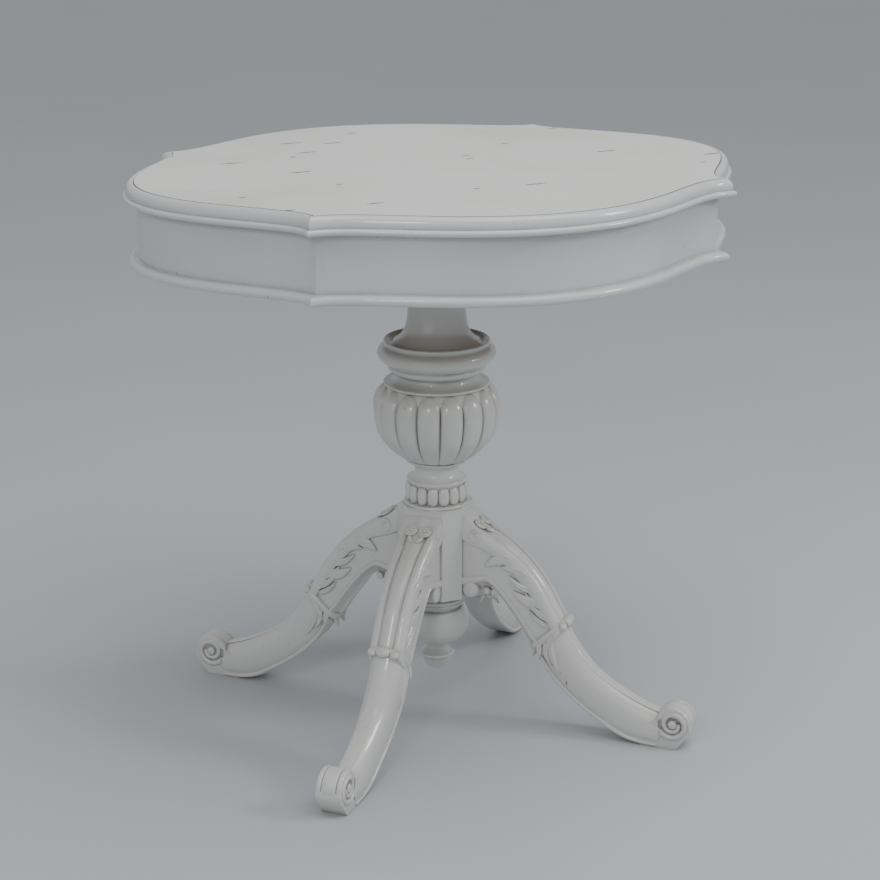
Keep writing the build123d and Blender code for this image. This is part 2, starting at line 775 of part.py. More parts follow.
def make_leg(number):
    """One leg in its place, with its dovetail, ribbon tie and toe scroll."""
    frame = leg_frame(number)
    upright = Plane(origin=(0, 0, 0), x_dir=frame.x_dir, z_dir=-frame.y_dir)
    with BuildPart() as leg:
        with BuildSketch(upright):
            add(leg_side_outline())
        extrude(amount=leg_width_root / 2, both=True)
        with BuildSketch(frame):
            add(leg_plan_outline())
        extrude(amount=table_height / 2, mode=Mode.INTERSECT)
        with BuildSketch(upright):
            with Locations(Location((tie_radius - 10, tie_height - 7, 0), (0, 0, -tie_slope))):
                RectangleRounded(tie_thickness, tie_depth, 3.0)
        extrude(amount=leg_width_tie / 2 + tie_swell, both=True)
        with BuildSketch(upright):
            with Locations((toe_reach - scroll_radius, scroll_height)):
                Circle(scroll_radius - 3.0)
        extrude(amount=leg_width_toe / 2 + 1.4 + scroll_boss, both=True)
        with BuildSketch(frame.offset(dovetail_foot)):
            add(dovetail_outline(0))
        extrude(amount=dovetail_head - dovetail_foot)
    return leg.part


for number, name in enumerate(LEGS):
    write(make_leg(number), f"leg_{name}")
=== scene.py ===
"""Looks of a painted tilt top table: moulded serpentine top, lobed pedestal, carved scroll legs.

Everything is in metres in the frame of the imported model. Lengths written as millimetres go through
the MM factor. Each sub-assembly is a class that builds its meshes and dresses them.
"""

import logging
import math
from dataclasses import dataclass, field
from enum import Enum
from typing import Any, Iterable, Sequence

import bmesh
import bpy
from mathutils import Matrix, Vector

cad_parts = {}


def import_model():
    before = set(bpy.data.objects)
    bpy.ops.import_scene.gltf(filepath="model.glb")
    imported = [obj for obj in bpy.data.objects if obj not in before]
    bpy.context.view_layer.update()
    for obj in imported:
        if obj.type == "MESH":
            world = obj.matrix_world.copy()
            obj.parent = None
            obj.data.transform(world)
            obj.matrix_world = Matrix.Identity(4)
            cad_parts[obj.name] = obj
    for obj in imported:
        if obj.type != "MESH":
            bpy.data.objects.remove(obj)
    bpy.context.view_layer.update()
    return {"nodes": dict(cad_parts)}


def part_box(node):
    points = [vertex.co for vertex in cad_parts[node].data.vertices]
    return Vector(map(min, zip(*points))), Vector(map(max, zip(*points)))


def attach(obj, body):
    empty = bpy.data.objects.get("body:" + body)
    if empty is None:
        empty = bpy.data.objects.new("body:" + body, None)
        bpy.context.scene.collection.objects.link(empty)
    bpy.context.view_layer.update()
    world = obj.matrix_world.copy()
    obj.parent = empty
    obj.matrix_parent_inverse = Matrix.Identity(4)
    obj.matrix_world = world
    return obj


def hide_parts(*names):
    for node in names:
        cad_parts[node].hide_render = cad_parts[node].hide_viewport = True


LOG = logging.getLogger("tilt_top_table")
MM = 0.001
SHARP_ANGLE = math.radians(38)


# ---- shader graphs -----------------------------------------------------------------------------
class Wire:
    """A shader socket that can be used in Python arithmetic."""

    def __init__(self, graph: "Graph", socket: bpy.types.NodeSocket) -> None:
        """Wrap a socket.

        Args:
            graph: The graph that new nodes go into.
            socket: The output socket that this wire carries.
        """
        self.graph = graph
        self.socket = socket

    def _math(self, operation: str, other: "Wire | float", swap: bool = False) -> "Wire":
        """Join this wire and another value in a Math node.

        Args:
            operation: The Math node's operation.
            other: The second value.
            swap: True to put the other value first.

        Returns:
            The result.
        """
        first, second = (other, self) if swap else (self, other)
        return self.graph.node("ShaderNodeMath", {"operation": operation}, {0: first, 1: second})

    def __add__(self, other: "Wire | float") -> "Wire":
        """Sum."""
        return self._math("ADD", other)

    __radd__ = __add__

    def __sub__(self, other: "Wire | float") -> "Wire":
        """Difference."""
        return self._math("SUBTRACT", other)

    def __rsub__(self, other: "Wire | float") -> "Wire":
        """Reflected difference."""
        return self._math("SUBTRACT", other, swap=True)

    def __mul__(self, other: "Wire | float") -> "Wire":
        """Product."""
        return self._math("MULTIPLY", other)

    __rmul__ = __mul__

    def __gt__(self, other: "Wire | float") -> "Wire":
        """One where this is larger, else nought."""
        return self._math("GREATER_THAN", other)


@dataclass
class Graph:
    """One material's node tree."""

    name: str
    material: bpy.types.Material = field(init=False)
    shader: bpy.types.Node = field(init=False)

    def __post_init__(self) -> None:
        """Make the material and its one Principled shader."""
        self.material = bpy.data.materials.new(self.name)
        self.material.use_nodes = True
        self.shader = self.material.node_tree.nodes["Principled BSDF"]

    def node(self, kind: str, settings: dict[str, Any], inputs: dict[Any, Any], output: Any = 0) -> Wire:
        """Add a node.

        Args:
            kind: The node's type.
            settings: Attributes to set first. "stops" fills a colour ramp.
            inputs: Values or wires, by socket name or number.
            output: Which output to return.

        Returns:
            A wire from that output.
        """
        made = self.material.node_tree.nodes.new(kind)
        for key, value in settings.items():
            if key == "stops":
                self._fill_ramp(made, value)
            else:
                setattr(made, key, value)
        for key, value in inputs.items():
            if isinstance(value, Wire):
                self.material.node_tree.links.new(value.socket, made.inputs[key])
            else:
                made.inputs[key].default_value = value
        return Wire(self, made.outputs[output])

    @staticmethod
    def _fill_ramp(ramp: bpy.types.Node, stops: Sequence[tuple[float, float]]) -> None:
        """Set a ramp's grey stops.

        Args:
            ramp: The Color Ramp node.
            stops: Pairs of position and grey value.
        """
        elements = ramp.color_ramp.elements
        while len(elements) < len(stops):
            elements.new(0.5)
        for element, (place, grey) in zip(elements, stops):
            element.position = place
            element.color = (grey, grey, grey, 1)

    def place(self, scale: Sequence[float] = (1, 1, 1), turn: float = 0.0) -> Wire:
        """Object coordinates, scaled and turned about Z.

        Args:
            scale: Scale along each axis.
            turn: Turn in degrees.

        Returns:
            The coordinates.
        """
        raw = self.node("ShaderNodeTexCoord", {}, {}, "Object")
        return self.node(
            "ShaderNodeMapping", {}, {"Vector": raw, "Scale": tuple(scale), "Rotation": (0, 0, math.radians(turn))}
        )

    def noise(self, scale: float, detail: float = 3.0, vector: Wire | None = None) -> Wire:
        """Noise around one half.

        Args:
            scale: Cycles per metre.
            detail: Octaves.
            vector: Coordinates, or None for plain object coordinates.

        Returns:
            The noise value.
        """
        vector = vector or self.place()
        return self.node("ShaderNodeTexNoise", {}, {"Vector": vector, "Scale": scale, "Detail": detail}, "Fac")

    def ramp(self, value: Wire, stops: Sequence[tuple[float, float]]) -> Wire:
        """Remap a value through grey stops.

        Args:
            value: The input.
            stops: Pairs of position and grey value.

        Returns:
            The remapped value.
        """
        return self.node("ShaderNodeValToRGB", {"stops": stops}, {"Fac": value})

    def creases(self, reach: float) -> Wire:
        """How enclosed the surface is, from 0 in the open to 1 in a deep crease.

        Args:
            reach: How far the test looks, in metres.

        Returns:
            The crease value.
        """
        settings = {"samples": 8, "only_local": False}
        return 1 - self.node("ShaderNodeAmbientOcclusion", settings, {"Distance": reach}, "AO")

    def blend(self, amount: Wire | float, low: Any, high: Any) -> Wire:
        """Mix two colours.

        Args:
            amount: 0 for low, 1 for high.
            low: Colour or wire.
            high: Colour or wire.

        Returns:
            The mixed colour.
        """
        return self.node("ShaderNodeMix", {"data_type": "RGBA"}, {0: amount, 6: low, 7: high}, 2)

    def finish(self, values: dict[str, Any]) -> bpy.types.Material:
        """Set the shader's sockets.

        Args:
            values: Value or wire for each socket name.

        Returns:
            The material.
        """
        for name, value in values.items():
            if isinstance(value, Wire):
                self.material.node_tree.links.new(value.socket, self.shader.inputs[name])
            else:
                self.shader.inputs[name].default_value = value
        return self.material

    def bump(self, height: Wire, depth: float) -> Wire:
        """A normal from a height.

        Args:
            height: The height, about 0 to 1.
            depth: Its full depth in metres.

        Returns:
            The normal.
        """
        return self.node("ShaderNodeBump", {}, {"Strength": 1.0, "Distance": depth, "Height": height}, "Normal")


def grey_tint(red: float, green: float, blue: float) -> tuple[float, float, float, float]:
    """A colour with full alpha."""
    return (red, green, blue, 1.0)


@dataclass(frozen=True)
class PaintFinish:
    """Old off-white oil paint with small chips; painted shade and grime darken the carving."""

    name: str = "old_paint"
    light: tuple = grey_tint(0.615, 0.612, 0.590)
    dull: tuple = grey_tint(0.540, 0.535, 0.510)
    # Painted shade and grime: the dark brown laid into creases and hollows.
    shade_and_grime_tint: tuple = grey_tint(0.118, 0.094, 0.070)
    bare: tuple = grey_tint(0.16, 0.11, 0.07)
    shade_and_grime_share: float = 0.66
    roughness: float = 0.27

    def make(self) -> bpy.types.Material:
        """Build the material."""
        g = Graph(self.name)
        patches = g.noise(5.0, 4.0)
        fine = g.noise(70.0, 4.0)
        # Painted shade and grime: a near (9 mm) and a wide (50 mm) occlusion test darken creases and hollows, made
        # uneven by noise.
        tight = g.ramp(g.creases(0.009), ((0.14, 0), (0.85, 1)))
        wide = g.ramp(g.creases(0.050), ((0.30, 0), (0.95, 1)))
        uneven = g.ramp(g.noise(38.0, 5.0), ((0.30, 0.45), (0.65, 1)))
        crease_shade_and_grime = (tight * 0.70 + wide * 0.78) * uneven
        chips = (g.noise(95.0, 2.0, g.place((1, 1, 0.6))) > 0.765) * (patches > 0.52)
        colour = g.blend(g.ramp(patches, ((0.3, 0), (0.7, 1))), self.light, self.dull)
        colour = g.blend(g.ramp(fine, ((0.52, 0), (0.85, 0.20))), colour, self.dull)
        # Lays the painted shade and grime into the creases.
        colour = g.blend(g.ramp(crease_shade_and_grime, ((0.0, 0), (1.0, self.shade_and_grime_share))), colour, self.shade_and_grime_tint)
        colour = g.blend(chips * 0.75, colour, self.bare)
        brush = g.noise(26.0, 3.0, g.place((1, 1, 7)))
        height = brush * 0.6 + fine * 0.4 - chips * 0.8
        rough = g.ramp(fine, ((0.3, self.roughness), (0.8, self.roughness + 0.10))) + crease_shade_and_grime * 0.25
        return g.finish({
            "Base Color": colour,
            "Roughness": rough,
            "Normal": g.bump(height, 0.00022),
            "Coat Weight": 0.55,
            "Coat Roughness": 0.07,
        })


@dataclass(frozen=True)
class FieldFinish:
    """The flat top: warmer paint with faint stains and short dark scratches."""

    name: str = "worn_top_paint"
    light: tuple = grey_tint(0.710, 0.712, 0.672)
    stain: tuple = grey_tint(0.600, 0.572, 0.480)
    scratch: tuple = grey_tint(0.06, 0.045, 0.035)
    underside: tuple = grey_tint(0.20, 0.135, 0.085)
    scratch_turn: float = 26.0

    def make(self) -> bpy.types.Material:
        """Build the material."""
        g = Graph(self.name)
        stains = g.ramp(g.noise(4.2, 6.0), ((0.50, 0), (0.78, 0.75)))
        fine = g.noise(60.0, 5.0)
        marks = self._dashes(g, 9.0, 62.0, 0.945, self.scratch_turn)
        nicks = self._dashes(g, 26.0, 74.0, 0.985, -self.scratch_turn)
        worn = marks + nicks
        up = g.node("ShaderNodeSeparateXYZ", {}, {0: g.node("ShaderNodeNewGeometry", {}, {}, "Normal")}, "Z") > 0.5
        colour = g.blend(stains, self.light, self.stain)
        colour = g.blend(g.ramp(fine, ((0.45, 0), (0.9, 0.25))), colour, self.stain)
        colour = g.blend(worn, colour, self.scratch)
        colour = g.blend(up, self.underside, colour)
        rough = g.ramp(fine, ((0.3, 0.30), (0.8, 0.46))) + worn * 0.3
        return g.finish({
            "Base Color": colour,
            "Roughness": rough,
            "Normal": g.bump(fine * 0.5 + g.noise(12.0, 2.0) * 0.5 - worn * 1.5, 0.0003),
            "Coat Weight": 0.15,
            "Coat Roughness": 0.25,
        })

    @staticmethod
    def _dashes(g: Graph, across: float, along: float, rarity: float, turn: float) -> Wire:
        """Short scratches: stretched cells, of which few are kept.

        Args:
            g: The graph.
            across: Cells per metre along a scratch.
            along: Cells per metre across a scratch.
            rarity: Cells with a random value above this carry a scratch.
            turn: Direction of the scratches in degrees.

        Returns:
            One on a scratch, else nought.
        """
        place = g.place((across, along, 1), turn)
        cells = {"voronoi_dimensions": "2D", "feature": "F1"}
        near = g.node("ShaderNodeTexVoronoi", cells, {"Vector": place, "Scale": 1.0}, "Distance")
        tint = g.node("ShaderNodeTexVoronoi", cells, {"Vector": place, "Scale": 1.0}, "Color")
        pick = g.node("ShaderNodeSeparateColor", {}, {0: tint}, 0)
        ragged = g.noise(160.0, 3.0) * 0.16
        return ((ragged + 0.05) > near) * (pick > rarity)


@dataclass(frozen=True)
class WoodFinish:
    """Bare old softwood on the parts that are out of sight."""

    name: str = "bare_old_wood"
    pale: tuple = grey_tint(0.30, 0.185, 0.105)
    dark: tuple = grey_tint(0.16, 0.090, 0.048)
    grain: tuple = (1.5, 22.0, 22.0)

    def make(self) -> bpy.types.Material:
        """Build the material."""
        g = Graph(self.name)
        lines = g.noise(9.0, 8.0, g.place(self.grain))
        pores = g.noise(60.0, 4.0, g.place(self.grain))
        # Painted shade and grime: an occlusion test picks out the creases.
        crease_shade_and_grime = g.ramp(g.creases(0.02), ((0.2, 0), (1.0, 0.8)))
        colour = g.blend(g.ramp(lines, ((0.35, 0), (0.65, 1))), self.pale, self.dark)
        colour = g.blend(g.ramp(pores, ((0.55, 0), (0.75, 0.5))), colour, self.dark)
        # Darkens the creases to near black: painted shade and grime.
        colour = g.blend(crease_shade_and_grime, colour, grey_tint(0.05, 0.035, 0.025))
        return g.finish({
            "Base Color": colour,
            "Roughness": g.ramp(lines, ((0.2, 0.62), (0.8, 0.78))),
            "Normal": g.bump(lines * 0.6 + pores * 0.4, 0.0004),
        })


@dataclass(frozen=True)
class MetalFinish:
    """Aged metal with a dull skin and brighter worn places."""

    name: str
    bright: tuple
    dull: tuple
    roughness: float

    def make(self) -> bpy.types.Material:
        """Build the material."""
        g = Graph(self.name)
        skin = g.ramp(g.noise(120.0, 5.0), ((0.38, 0), (0.66, 1)))
        # Painted shade and grime: an occlusion test darkens the creases towards near black.
        crease_shade_and_grime = g.ramp(g.creases(0.004), ((0.2, 0), (0.9, 0.8)))
        colour = g.blend(crease_shade_and_grime, g.blend(skin, self.bright, self.dull), grey_tint(0.03, 0.025, 0.02))
        return g.finish({
            "Base Color": colour,
            "Metallic": 1.0,
            "Roughness": skin * 0.22 + self.roughness,
            "Normal": g.bump(g.noise(300.0, 3.0), 0.0001),
        })


# Painted light: a cooler tint of the paint for the rim, standing for the cool light on its upright faces.
RIM_COOL_LIT_PALE = grey_tint(0.605, 0.618, 0.625)
RIM_COOL_LIT_DULL = grey_tint(0.535, 0.540, 0.540)
BRASS = MetalFinish("aged_brass", grey_tint(0.62, 0.44, 0.18), grey_tint(0.30, 0.21, 0.10), 0.30)
IRON = MetalFinish("dull_iron", grey_tint(0.36, 0.35, 0.34), grey_tint(0.14, 0.12, 0.10), 0.42)


class Side(Enum):
    """The four sides of the top and how far each is turned from the front, in degrees."""

    FRONT = 0
    RIGHT = 90
    BACK = 180
    LEFT = 270

    @property
    def node_name(self) -> str:
        """The word used for this side in node names."""
        return self.name.lower()


# ---- mesh helpers ------------------------------------------------------------------------------
def finish_mesh(bm: bmesh.types.BMesh, name: str, material: bpy.types.Material) -> bpy.types.Object:
    """Merge, orient, shade and link a mesh.

    Args:
        bm: The mesh, which is freed.
        name: Name of the object.
        material: Its material.

    Returns:
        The new object.
    """
    bmesh.ops.remove_doubles(bm, verts=bm.verts, dist=0.00002)
    bmesh.ops.dissolve_degenerate(bm, edges=bm.edges, dist=0.00002)
    bmesh.ops.recalc_face_normals(bm, faces=bm.faces)
    for face in bm.faces:
        face.smooth = True
    for edge in bm.edges:
        edge.smooth = edge.calc_face_angle(0.0) < SHARP_ANGLE
    mesh = bpy.data.meshes.new(name)
    bm.to_mesh(mesh)
    bm.free()
    mesh.materials.append(material)
    made = bpy.data.objects.new(name, mesh)
    bpy.context.scene.collection.objects.link(made)
    return made


def stand_in(piece: bpy.types.Object, body: str, slot: str, *nodes: str) -> bpy.types.Object:
    """Make a piece ride on a body and stand for CAD nodes.

    Args:
        piece: The piece.
        body: The body it moves with.
        slot: The record's material slot; not used.
        nodes: CAD nodes that it replaces.

    Returns:
        The piece.
    """
    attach(piece, body)
    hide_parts(*nodes)
    LOG.info("%s stands for %s: %d faces", piece.name, ", ".join(nodes), len(piece.data.polygons))
    return piece


def draw_row(bm: bmesh.types.BMesh, points: Iterable[Vector], closed: bool = False) -> list:
    """A row of vertices joined by edges.

    Args:
        bm: The mesh.
        points: Where the vertices go.
        closed: True to join the last to the first.

    Returns:
        The vertices, in order.
    """
    verts = [bm.verts.new(point) for point in points]
    for first, second in zip(verts, verts[1:]):
        bm.edges.new((first, second))
    if closed:
        bm.edges.new((verts[-1], verts[0]))
    return verts


def loft(bm: bmesh.types.BMesh, rows: Sequence[Sequence[Vector]], closed_rows: bool = True,
         caps: bool = True) -> None:
    """Skin through rows that have the same number of points, by extruding the row's edges.

    Args:
        bm: The mesh.
        rows: The rows.
        closed_rows: True when each row is a loop.
        caps: True to close both ends.
    """
    verts = draw_row(bm, rows[0], closed_rows)
    if caps:
        bm.faces.new(verts)
    for row in rows[1:]:
        count = len(verts)
        pairs = range(count if closed_rows else count - 1)
        edges = [bm.edges.get((verts[i], verts[(i + 1) % count])) for i in pairs]
        made = bmesh.ops.extrude_edge_only(bm, edges=edges)["geom"]
        fresh = {v for v in made if isinstance(v, bmesh.types.BMVert)}
        step = []
        for vert, point in zip(verts, row):
            partner = next(e.other_vert(vert) for e in vert.link_edges if e.other_vert(vert) in fresh)
            partner.co = point
            step.append(partner)
        verts = step
    if caps:
        bm.faces.new(verts)


def curve_through(points: Sequence[Sequence[float]], count: int) -> list[Vector]:
    """Points evenly stepped on a smooth curve through control points.

    Args:
        points: Control points.
        count: How many points to return.

    Returns:
        The points.
    """
    knots = [Vector(p) for p in points]
    spans = len(knots) - 1
    result = []
    for i in range(count):
        place = spans * i / (count - 1)
        k = min(int(place), spans - 1)
        t = place - k
        a, b, c, d = (knots[max(0, min(spans, k + step))] for step in (-1, 0, 1, 2))
        result.append(0.5 * (2 * b + (c - a) * t + (2 * a - 5 * b + 4 * c - d) * t * t
                             + (3 * b - a - 3 * c + d) * t * t * t))
    return result


def turned(profile: Sequence[tuple[float, float]], steps: int = 128) -> bmesh.types.BMesh:
    """Spin an outline about the pedestal axis.

    Args:
        profile: Pairs of radius and height in millimetres, closed at the axis by the ends.
        steps: Steps round the circle.

    Returns:
        The mesh.
    """
    bm = bmesh.new()
    verts = draw_row(bm, [Vector((r, 0, z)) * MM for r, z in profile])
    bmesh.ops.spin(
        bm, geom=verts + list(bm.edges), cent=(0, 0, 0), axis=(0, 0, 1), angle=2 * math.pi,
        steps=steps, use_merge=True, use_duplicate=False,
    )
    return bm


def arc(middle: tuple[float, float], radius: float, start: float, end: float, count: int) -> list:
    """Points of an arc in an outline.

    Args:
        middle: Centre of the arc.
        radius: Its radius.
        start: First angle in degrees.
        end: Last angle in degrees.
        count: How many points.

    Returns:
        Pairs of radius and height.
    """
    angles = [math.radians(start + (end - start) * i / (count - 1)) for i in range(count)]
    return [(middle[0] + radius * math.cos(a), middle[1] + radius * math.sin(a)) for a in angles]


def eased(points: Sequence[tuple[float, float]], count: int) -> list[tuple[float, float]]:
    """A smooth stretch of an outline.

    Args:
        points: Control points.
        count: How many points to return.

    Returns:
        Pairs of radius and height.
    """
    return [(p.x, p.y) for p in curve_through([(r, z, 0) for r, z in points], count)]


# ---- the top -----------------------------------------------------------------------------------
@dataclass
class SerpentineTop:
    """Moulded rim, apron and bottom rail of the tilting top."""

    # Takes the rim paint, a copy of the paint tinted cooler as painted light.
    paint: bpy.types.Material
    corner_x: float = 0.260
    corner_y: float = 0.232
    stations: int = 120
    crowding: float = 0.32  # draws the stations towards the corners
    moulding: tuple = (
        (0.0, 21.8), (0.0, 1.9), (0.5, 1.2), (1.1, 0.45), (2.0, 0.05), (3.4, 0.1), (5.4, 0.7), (7.3, 2.0), (8.8, 4.0),
        (9.8, 6.4), (10.3, 9.0), (10.2, 11.4), (9.7, 12.9), (9.6, 13.6), (10.6, 13.8), (12.1, 14.2), (13.2, 15.1),
        (13.85, 16.6), (13.9, 18.0), (13.3, 19.5), (12.2, 20.6), (10.6, 21.2), (8.6, 21.4), (8.2, 21.8),
    )
    apron: tuple = ((-18.0, 22.0), (-2.0, 22.0), (-2.0, 40.0), (-2.0, 64.0), (-2.0, 88.0), (-18.0, 88.0))

    height: float = field(init=False, default=0.0)
    spans: dict = field(init=False, default_factory=dict)

    def build(self) -> None:
        """Make the twelve strips of the rim."""
        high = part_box("top_board")[1]
        self.height = high.z
        self.spans = {
            Side.FRONT: (self.corner_x, self.corner_y, high.y - self.corner_y),
            Side.RIGHT: (self.corner_y, self.corner_x, high.x - self.corner_x),
        }
        self.spans[Side.BACK] = self.spans[Side.FRONT]
        self.spans[Side.LEFT] = self.spans[Side.RIGHT]
        rail = [(-18.0, 88.0), (-2.0, 88.0), (-0.4, 88.6), (3.6, 88.3)]
        rail += [(3.9 + 6.0 * math.sin(a), 94.1 - 5.9 * math.cos(a)) for a in
                 [math.radians(12 + 156 * i / 10) for i in range(11)]]
        rail += [(3.0, 100.0), (-18.0, 100.0)]
        for side in Side:
            self._strip(side, self.moulding, "edge_moulding")
            self._strip(side, self.apron, "apron")
            self._strip(side, rail, "bottom_rail")

    @staticmethod
    def swell(s: float) -> float:
        """Share of the bulge at s, from -1 to 1 along a side."""
        q = 1 - s * s
        return q * q * (1.6 - 0.6 * q)

    def _point(self, side: Side, t: float, out: float, down: float) -> Vector:
        """A point of a strip, mitred at both ends.

        Args:
            side: Which side of the top.
            t: From -1 to 1 along the side.
            out: Distance outward from the flat edge, in metres.
            down: Distance below the top face, in metres.

        Returns:
            The point.
        """
        half, corner, bulge = self.spans[side]
        reach = self._mitre_reach(side, out)
        s = t * reach
        if abs(s) <= 1:
            q = 1 - s * s
            slope = 2 * s * (3.2 * q - 1.8 * q * q) * bulge / half
            normal = Vector((slope, -1, 0)).normalized()
            point = Vector((s * half, -corner - bulge * self.swell(s), 0)) + normal * out
        else:
            point = Vector((s * half, -corner - out, 0))
        point.z = self.height - down
        return Matrix.Rotation(math.radians(side.value), 3, "Z") @ point

    def _mitre_reach(self, side: Side, out: float) -> float:
        """Where along a side an offset line meets the mitre, as a share of the half span."""
        half, corner, bulge = self.spans[side]
        if out >= 0:
            return 1 + out / half
        s = 1 + out / half
        for _ in range(12):
            q = 1 - s * s
            slope = 2 * s * (3.2 * q - 1.8 * q * q) * bulge / half
            normal = Vector((slope, -1, 0)).normalized() * out
            x, y = s * half + normal.x, -corner - bulge * self.swell(s) + normal.y
            s -= 0.7 * ((x - half) + (y + corner)) / half
        return s

    def _strip(self, side: Side, outline: Sequence[tuple[float, float]], word: str) -> None:
        """One strip along a side, standing for the CAD node of the same name.

        Args:
            side: Which side.
            outline: Pairs of outward and downward millimetres round the section.
            word: First word of the node's name.
        """
        bm = bmesh.new()
        rows = []
        for i in range(self.stations + 1):
            t = 2 * i / self.stations - 1
            t = t * (1 + self.crowding - self.crowding * t * t)
            rows.append([self._point(side, t, o * MM, d * MM) for o, d in outline])
        loft(bm, rows)
        name = f"{word}_{side.node_name}"
        stand_in(finish_mesh(bm, f"{name}_look", self.paint), "top", "painted_wood", name)


# ---- turned pedestal ---------------------------------------------------------------------------
@dataclass
class TurnedPedestal:
    """Neck, dished collar, lobed bulb, beaded collar, ring, bun and finial."""

    paint: bpy.types.Material
    lobes: int = 16
    beads: int = 16
    lobe_height: float = 7.4

    def build(self) -> None:
        """Make every turned piece."""
        self._neck()
        self._dish()
        self._bulb()
        self._collar()
        self._base()

    def _piece(self, bm: bmesh.types.BMesh, node: str) -> None:
        """Finish a turning and let it stand for its node."""
        stand_in(finish_mesh(bm, f"{node}_look", self.paint), "pedestal", "painted_wood", node)

    def _neck(self) -> None:
        """Slender neck, flaring to its foot, with a ring under the head block."""
        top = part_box("head_block")[0].z / MM
        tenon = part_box("tenon_wedge")[1].z / MM - 0.3
        outline = [(0, tenon), (21.9, tenon), (21.9, top), (50, top), (50, top - 6)]
        outline += arc((50, top - 12), 5.2, 80, -80, 9)
        outline += [(44, top - 19)]
        outline += eased([(44, top - 19), (39.5, top - 30), (37, 600), (36.0, 560), (37.2, 532), (41, 514),
                          (48, 504.5), (54.5, 500.4)], 48)
        outline += [(54.5, 499.6), (0, 499.6)]
        self._piece(turned(outline), "neck")

    def _dish(self) -> None:
        """Shallow dish with a raised rim over a torus, a step and a deep cove."""
        outline = [(0, 499.5), (54, 499.5)]
        outline += eased([(54.4, 499.9), (58.5, 497.6), (62.0, 498.2), (64.2, 500.6)], 12)
        outline += arc((65.7, 499.6), 1.8, 135, -20, 8) + [(67.3, 497.6), (66.2, 496.0), (66.4, 494.9)]
        outline += arc((64.0, 484.0), 10.9, 70, -78, 20)
        outline += [(66.0, 472.6), (62.0, 471.9), (60.6, 470.8)]
        outline += arc((57.6, 466.4), 4.6, 45, -62, 9)
        outline += eased([(59.4, 461.9), (56.6, 460.6), (53.2, 459.0), (51.0, 457.2)], 10)
        outline += [(50.4, 457.0), (0, 457.0)]
        self._piece(turned(outline), "dish_collar")

    def _bulb(self) -> None:
        """Lobed bulb: rounded lobes with sharp creases, arched at the top, drawn to a point below."""
        outline = [(0, 457.0), (50, 457.0)]
        outline += eased([(50.2, 456.6), (51.8, 451.8), (57.0, 448.4), (64.5, 447.6)], 12)
        outline += arc((65.6, 445.8), 1.9, 100, -60, 8)
        body = eased([(64.6, 443.6), (67.6, 438.6), (71.2, 430.0), (73.8, 418.0), (73.8, 405.0), (71.0, 390.0),
                      (65.2, 375.0), (56.2, 361.5), (46.5, 351.5), (38.0, 346.4)], 84)
        outline += body
        outline += arc((37.6, 344.2), 2.2, 75, -80, 8) + [(34, 342), (0, 342)]
        bm = turned(outline, self.lobes * 18)
        for vert in bm.verts:
            self._raise_lobe(vert)
        self._piece(bm, "gadroon_bulb")

    def _raise_lobe(self, vert: bmesh.types.BMVert) -> None:
        """Push one vertex of the bulb out by the height of the lobe there."""
        z = vert.co.z / MM
        if not 347.0 < z < 443.4:
            return
        turn = math.atan2(vert.co.y, vert.co.x) * self.lobes / (2 * math.pi)
        across = 2 * (turn - math.floor(turn)) - 1
        arch = max(0.0, (z - 419.0) / 24.0)
        taper = min(1.0, (z - 346.0) / 34.0)
        room = max(0.0, 1 - abs(across) ** 2.2 - arch ** 2.4)
        push = self.lobe_height * room ** 0.5 * (0.30 + 0.70 * taper) * MM
        flat = Vector((vert.co.x, vert.co.y, 0)).normalized()
        vert.co += flat * push

    def _collar(self) -> None:
        """Small neck and shoulder over a ring of upright beads."""
        outline = [(0, 342), (35, 342)]
        outline += eased([(35.0, 341.6), (31.0, 338.4), (28.6, 333.0), (29.6, 326.6), (33.4, 322.2),
                          (36.8, 320.4)], 18)
        outline += arc((36.2, 318.2), 2.3, 70, -50, 7) + [(37.6, 316.0), (35.4, 313.6), (34.6, 311.0)]
        outline += [(34.4, 296.0), (35.0, 292.2), (38.2, 290.6), (41.6, 290.0), (42.6, 288.4)]
        outline += [(42.6, 287.2), (0, 287.2)]
        bm = turned(outline, 96)
        for number in range(self.beads):
            turn = Matrix.Rotation(2 * math.pi * (number + 0.5) / self.beads, 4, "Z")
            made = bmesh.ops.create_uvsphere(bm, u_segments=20, v_segments=14, radius=1.0)["verts"]
            for vert in made:
                x, y, z = vert.co
                full = (1 - abs(z) ** 4.0) ** 0.25 if abs(z) < 1 else 0.0
                round_now = max(0.001, math.sqrt(max(0.0, 1 - z * z)))
                grow = 0.55 + 0.45 * full / round_now if round_now > 0.05 else 1.0
                vert.co = Vector((34.8 + 6.4 * x * grow, 7.5 * y * min(grow, 1.35), 302.3 + 12.2 * z)) * MM
            bmesh.ops.transform(bm, matrix=turn, verts=made)
        self._piece(bm, "beaded_collar")

